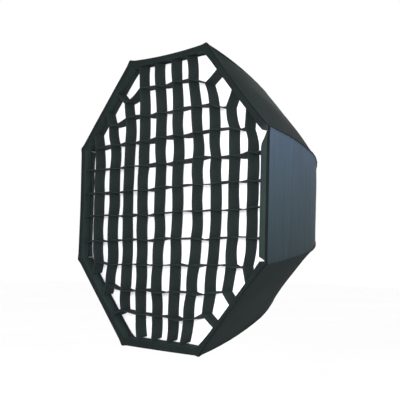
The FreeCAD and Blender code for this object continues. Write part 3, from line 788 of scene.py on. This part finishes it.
def baffle_panel():
    x, z, r = octagon_grid(BAFFLE_APOTHEM, 81)
    angle = np.arctan2(z, x)
    y = RIM_Y + 270.5 * MM - 5 * MM * (1 - r ** 2) - 1.2 * MM * np.sin(angle * 8) ** 2 * r ** 6 * (1 - r)
    y += 1.0 * MM * smooth_noise(x / (100 * MM), z / (100 * MM), 31) * (1 - r ** 4)
    thickness = np.where(r > 0.95, 1.0 * MM, 0.6 * MM)
    points = np.stack([x, y, z], -1)
    return build("inner_baffle_cloth", sheet_parts(points, thickness, np.stack([x, z], 2)),
                 "softbox", BAFFLE_CLOTH, ["inner_baffle"])


def baffle_straps():
    """A strap of webbing from each of the baffle's corners to the rod there."""
    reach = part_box("baffle_straps")[1].x / CORNER
    straps = [strap_parts(k, BAFFLE_APOTHEM / CORNER - 14 * MM, reach) for k in range(SIDES)]
    return build("baffle_strap_webbing", joined(straps), "softbox", WEBBING,
                 ["baffle_straps"])


def strap_parts(corner, start, end):
    along = np.linspace(start, end, 22)
    across = np.array([-1, -0.9, -0.4, 0.4, 0.9, 1]) * 10 * MM
    r, w = np.meshgrid(along, across, indexing="ij")
    share = (r - start) / (end - start)
    depth = 271.7 * MM + 1.5 * MM * np.sin(math.pi * np.clip(share * 1.3 - 0.3, 0, 1))
    points = placed(corner * STEP + HALF, r, w, depth)
    edge = np.array([0.6, 1, 1, 1, 1, 0.6])[None] * 1.1 * MM
    return sheet_parts(points, edge, np.stack([r, w], 2))


# ---- Honeycomb grid ----
STRIP_X = np.array([-385, -297, -213, -131, -40, 50, 148, 235, 314, 393]) * MM
STRIP_Z = np.array([377, 287, 205, 122, 41, -40, -124, -208, -292, -373]) * MM
# How far an upright strip's ends lie towards -X from its middle.
STRIP_BOW = np.array([0, 0, 0, 0, 10, 13, 38, 40, 12, 5]) * MM
LEVEL_RISE = 6 * MM  # of a level strip towards +X
CORNER_STRIPS = 3  # strips at each end of a set that finish on the diagonal sides
LAST = len(STRIP_X) - 1
# Outer strips share a strap to the wall. By upright and level strip, counted from 0: where the strap
# starts, x and z in millimetres, and its slope from level in degrees.
STRAPS = {
    (0, 2): (-388, 190, 76), (1, 1): (-309, 263, 64), (2, 0): (-221, 335, 37),
    (0, 7): (-375, -204, 72), (1, 8): (-304, -278, 70), (2, 9): (-212, -359, 26),
    (7, 0): (196, 353, 33), (8, 1): (297, 271, 63), (9, 2): (380, 200, 85),
    (7, 9): (207, -350, 35), (8, 8): (296, -280, 47), (9, 7): (383, -203, 74),
}
STRAP_OFFSET = 1.15 * MM  # half the distance between the two strips of a strap
WALL = APOTHEM - 25.6 * MM
WALL_GAP = 0.9 * MM  # from the wall's middle to a strip's end
# How far some upright strips lean near their ends, at the top end, first crossing, last crossing and
# bottom end.
LEAN = {3: (-11, -5, 8, 12), 4: (-9, -4, 9, 8), 5: (-11, -6, 4, 1), 6: (-10, -5, -4, -9)}
STRIP_FRONT = 0.6 * MM
STRIP_DEPTH = 40.8 * MM
SLOT_HALF = 0.7 * MM  # half the width of a halving slot
LEVEL_TWIST = -4 * MM  # a level strip's rear edge, from its front one, at the top
FRONT_SHIFT = -1.5 * MM  # an upright strip's front edge, towards +X
REAR_SHIFT = 4.0 * MM  # its rear edge, from the front one
# Shares of a strip's depth at which its cloth has points, and its thickness there; its edges are bound.
STRIP_ROWS = np.array([0, 0.03, 0.13, 0.15, 0.17, 0.33, 0.5, 0.67, 0.83, 0.85, 0.87, 0.97, 1.0])
STRIP_T = np.array([1.2, 2.1, 2.2, 1.5, 1.3, 1.3, 1.3, 1.3, 1.3, 1.5, 2.2, 2.1, 1.2]) * MM
LEVEL_T = 1.5  # how many times as thick the level strips are
MID_ROW = 6  # the halving slots end here
NEAR_WALL = 0.97  # share of the wall's distance at which a strip aims for its end


def upright_x(index, z):
    return STRIP_X[index] - STRIP_BOW[index] * (z / WALL) ** 2


def level_z(index, x):
    return STRIP_Z[index] + LEVEL_RISE * x / WALL


def crossing(column, row):
    x = upright_x(column, level_z(row, STRIP_X[column]))
    return np.array([upright_x(column, level_z(row, x)), level_z(row, x)])


def make_lattice():
    """Where the strips cross, at their front and rear edges, uneven as soft cloth is."""
    front, rear = {}, {}
    for i in range(LAST + 1):
        for j in range(LAST + 1):
            shift = np.array([rng.uniform(-2.5, 2.5), rng.uniform(-3, 3)]) * MM
            twist = np.array([rng.uniform(-2, 2), rng.uniform(-5, 5)]) * MM
            if i in LEAN and j in (0, LAST):
                shift[0] += LEAN[i][1 if j == 0 else 2] * MM
            front[i, j] = crossing(i, j) + shift + np.array([FRONT_SHIFT, 0])
            rear[i, j] = front[i, j] + twist + np.array([REAR_SHIFT, LEVEL_TWIST * front[i, j][1] / WALL])
    return front, rear


FRONT_NODES, REAR_NODES = make_lattice()


def end_rows(index):
    """First and last crossing of a strip that finishes on the diagonal sides, else None."""
    first = CORNER_STRIPS - 1 - min(index, LAST - index)
    return (first, LAST - first) if first >= 0 else None


def to_wall(place, along, side, depth):
    """Where a line from a place (x, z) meets the wall of a side at a depth."""
    out, way = directions(side)
    end = np.array(place, dtype=float)
    for _ in range(4):
        u = np.clip(end @ way / (end @ out * math.tan(HALF)), -1, 1)
        end = end + along * (APOTHEM - wall_inset(side, u, depth) - WALL_GAP - end @ out) / (along @ out)
    return end


def strap_end(index, other, upright):
    """Ends and start of a strap at the strip's front and rear edges, outermost first."""
    x, z, slope = STRAPS[(index, other) if upright else (other, index)]
    out = np.sign([x, z])
    along = out * [math.cos(math.radians(slope)), math.sin(math.radians(slope))]
    beside = np.array([out[0] * abs(along[1]), -out[1] * abs(along[0])]) * (1 if upright else -1)
    start = np.array([x, z]) * MM + beside * STRAP_OFFSET
    side = round(math.atan2(z, x) / STEP)
    ends = [to_wall(start, along, side, depth) for depth in (0, STRIP_DEPTH)]
    return [(*ends, False), (start, start, False)]


def wall_end(index, upright, sign):
    """The end of a strip that runs straight to the wall, above or towards +X for a sign of 1."""
    side = (2 if sign > 0 else 6) if upright else (0 if sign > 0 else 4)
    near = sign * WALL * NEAR_WALL
    place = np.array([upright_x(index, near), near] if upright else [near, level_z(index, near)])
    if upright and index in LEAN:
        place[0] += LEAN[index][0 if sign > 0 else 3] * MM
    along = np.array([0.0, sign] if upright else [sign, 0.0])
    shift = np.array([REAR_SHIFT if upright else 0, 0])
    return [(to_wall(place, along, side, 0), to_wall(place + shift, along, side, STRIP_DEPTH), False)]


def strip_nodes(index, upright):
    """Front and rear (x, z) of a strip's nodes, and whether each is a slotted crossing."""
    def key(k):
        return (index, k) if upright else (k, index)
    ends = end_rows(index)
    start = 1 if upright else -1
    first, last = ends or (-1, LAST + 1)
    inner = [(FRONT_NODES[key(k)], REAR_NODES[key(k)], True) for k in range(first + 1, last)]
    if ends is None:
        return wall_end(index, upright, start) + inner + wall_end(index, upright, -start)
    return strap_end(index, first, upright) + inner + strap_end(index, last, upright)[::-1]


def strip_edges(nodes, strap, upright):
    """Points along a strip's front and rear edges, and which of them are slotted crossings."""
    front, rear, slotted = [], [], []
    for k in range(len(nodes) - 1):
        (f0, r0, cross0), (f1, r1, cross1) = nodes[k], nodes[k + 1]
        run = np.linalg.norm(f1 - f0)
        margin = SLOT_HALF / run
        last = k == len(nodes) - 2
        on_strap = strap and (last or k == 0)
        bow = rng.uniform(-1, 1) * (1 if on_strap else 5) * MM
        other = bow + rng.uniform(-1, 1) * (0.5 if on_strap else 2) * MM
        droop = 0 if upright else rng.uniform(0.5, 3) * MM
        way = (f1 - f0) / run
        normal = np.array([-way[1], way[0]])
        inner = list(np.linspace(0, 1, 11)[1:-1])
        for t in [0.0, margin] + inner + [1 - margin] + ([1.0] if last else []):
            swell = math.sin(math.pi * t)
            front.append(f0 + (f1 - f0) * t + normal * bow * swell - np.array([0, droop * 0.4]) * swell)
            rear.append(r0 + (r1 - r0) * t + normal * other * swell - np.array([0, droop]) * swell)
            slotted.append((t == 0.0 and cross0) or (t == 1.0 and cross1))
    return np.array(front), np.array(rear), slotted


def grid_strip(index, upright):
    nodes = strip_nodes(index, upright)
    front, rear, slotted = strip_edges(nodes, end_rows(index) is not None, upright)
    share = STRIP_ROWS[None, :, None]
    plan = front[:, None] * (1 - share) + rear[:, None] * share
    depth = STRIP_FRONT + STRIP_ROWS * STRIP_DEPTH
    length = run_along(front)
    wave = 0.35 * MM * smooth_noise(length / (60 * MM), 0.3, index + 60 * upright)[:, None]
    y = RIM_Y + depth[None] + np.clip(wave, -0.1 * MM, 0.4 * MM) * (0.5 - STRIP_ROWS) * 2
    points = settle(np.stack([plan[..., 0], y, plan[..., 1]], -1))
    keep = np.ones((len(front) - 1, len(STRIP_ROWS) - 1), dtype=bool)
    for a in np.flatnonzero(slotted):
        rows = slice(0, MID_ROW) if upright else slice(MID_ROW, None)
        keep[max(a - 1, 0):a + 1, rows] = False
    name = "grid_strip_" + ("v" if upright else "h") + str(index + 1)
    thickness = STRIP_T[None] * (1 if upright else LEVEL_T)
    parts = sheet_parts(points, thickness, flat_uv(length, depth), keep)
    obj = build(name + "_cloth", parts, "grid", GRID_CLOTH, [name])


STITCH_ROWS = (4.7, 19.1)  # insets of the border's two rows of stitches, in millimetres


def grid_border():
    """The flat lip over the rim and the wall behind it, one doubled band of cloth."""
    widths = [0.9, 1.6, 4.2, STITCH_ROWS[0], 5.2, 9, 13, 17, 18.6, STITCH_ROWS[1], 19.6, 22.4]
    path = [(-2.0 * MM, APOTHEM - w * MM) for w in widths]
    path += [(-1.5 * MM, APOTHEM - 24.1 * MM), (-0.2 * MM, APOTHEM - LIP)]
    path += [(d * MM, APOTHEM - LIP) for d in (2, 6, 11, 16, 20, 21.3, 21.8, 22.3, 23.5, 24)]
    thickness = np.full(len(path), 1.8)
    thickness[[0, -1]] = 1.1
    thickness[[3, 9]] = 1.2
    thickness[12:20] = 1.4
    parts = cloth_ring(path, thickness[None] * MM, 0.5 * MM, 17, shape=fit_border)
    obj = build("grid_border_cloth", parts, "grid", BORDER_CLOTH, ["grid_border"])
    rows = []
    for inset in STITCH_ROWS:
        line = ring_stations(APOTHEM - inset * MM)
        line = np.insert(np.vstack([line, line[:1]]), 1, RIM_Y - 2.7 * MM, axis=1)
        rows.append(stitch_parts(settle(fit_border(line)), np.tile([0.0, -1, 0], (len(line), 1)), 6 * MM))
    stitches = build("grid_border_stitches", joined(rows), "grid", THREAD)
    return obj, stitches


pipes = [piping(k) for k in range(SIDES)]
for k in range(SIDES):
    cloth, stitches = gore(k)
    lining(k)

hem()
hook_tapes()
corner_pockets()
rim_binding()
collar()
collar_elastic()
diffuser_panel()
diffuser_binding()
baffle_panel()
baffle_straps()
border, border_stitches = grid_border()
for k in range(len(STRIP_X)):
    grid_strip(k, True)
    grid_strip(k, False)

# The hard parts keep the frame's own meshes and get their materials here.
HARD_PARTS = {
    "mount_insert": ALLOY, "insert_retaining_ring": ALLOY, "retaining_ring_screws": STEEL,
    "speedring_body": RING_PAINT, "rod_ferrules": STEEL, "rod_end_caps": MOULDED,
    "baffle_clips": MOULDED, "baffle_snaps": STEEL,
}
HARD_PARTS |= {f"lock_screw_{k}": MOULDED for k in range(1, 5)}
HARD_PARTS |= {f"rod_{k}": ROD_STEEL for k in range(1, SIDES + 1)}
for node, material in HARD_PARTS.items():
    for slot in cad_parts[node].material_slots:
        slot.material = material


# ---- Camera, light and floor ----
def camera():
    azimuth, elevation, roll, distance = 51.965, -3.343, 1.517, 6.621 * APOTHEM
    a, e = math.radians(azimuth), math.radians(elevation)
    back = Vector((math.sin(a) * math.cos(e), -math.cos(a) * math.cos(e), math.sin(e)))
    data = bpy.data.cameras.new("camera")
    data.lens = 88.6
    data.sensor_width = 36
    data.shift_x = 0.0941
    obj = add_object("camera", data)
    obj.rotation_mode = "QUATERNION"
    obj.location = Vector((0, RIM_Y, 0)) + back * distance
    turn = (-back).to_track_quat("-Z", "Y").to_matrix() @ Matrix.Rotation(math.radians(roll), 3, "Z")
    obj.rotation_quaternion = turn.to_quaternion()
    bpy.context.scene.camera = obj


def area_light(name, place, size, watts):
    """A round white light that faces the softbox's middle."""
    data = bpy.data.lights.new(name, "AREA")
    data.shape, data.size, data.energy = "DISK", size, watts
    obj = add_object(name, data)
    obj.location = place
    obj.rotation_mode = "QUATERNION"
    obj.rotation_quaternion = (Vector((0, RIM_Y / 2, 0)) - Vector(place)).to_track_quat("-Z", "Y")


def studio():
    world = bpy.data.worlds.new("studio")
    world.use_nodes = True
    world.node_tree.nodes["Background"].inputs["Color"].default_value = (*WHITE, 1)
    bpy.context.scene.world = world
    area_light("key", (2.1, -2.9, 0.25), 1.4, 130)
    area_light("side", (2.0, -0.9, 1.7), 0.9, 40)
    area_light("rear", (-2.2, 2.6, 1.6), 1.2, 45)


def white_floor():
    floor = Shade("floor", (0.9, 0.9, 0.9), Roughness=0.9, Specular_IOR_Level=0.1)
    tone = floor.noise(0.5, 2.0, uv=False)
    floor.colour(floor.ramp(tone, [(0.3, (0.97, 0.97, 0.97)), (0.7, (0.99, 0.99, 0.99))]))
    half, z = 30.0, -1.2
    mesh = bpy.data.meshes.new("floor")
    mesh.from_pydata([(-half, -half, z), (half, -half, z), (half, half, z), (-half, half, z)], [],
                     [(0, 1, 2, 3)])
    mesh.materials.append(floor.material)
    add_object("floor", mesh)


camera()
studio()
white_floor()
bpy.context.scene.view_settings.view_transform = "Standard"
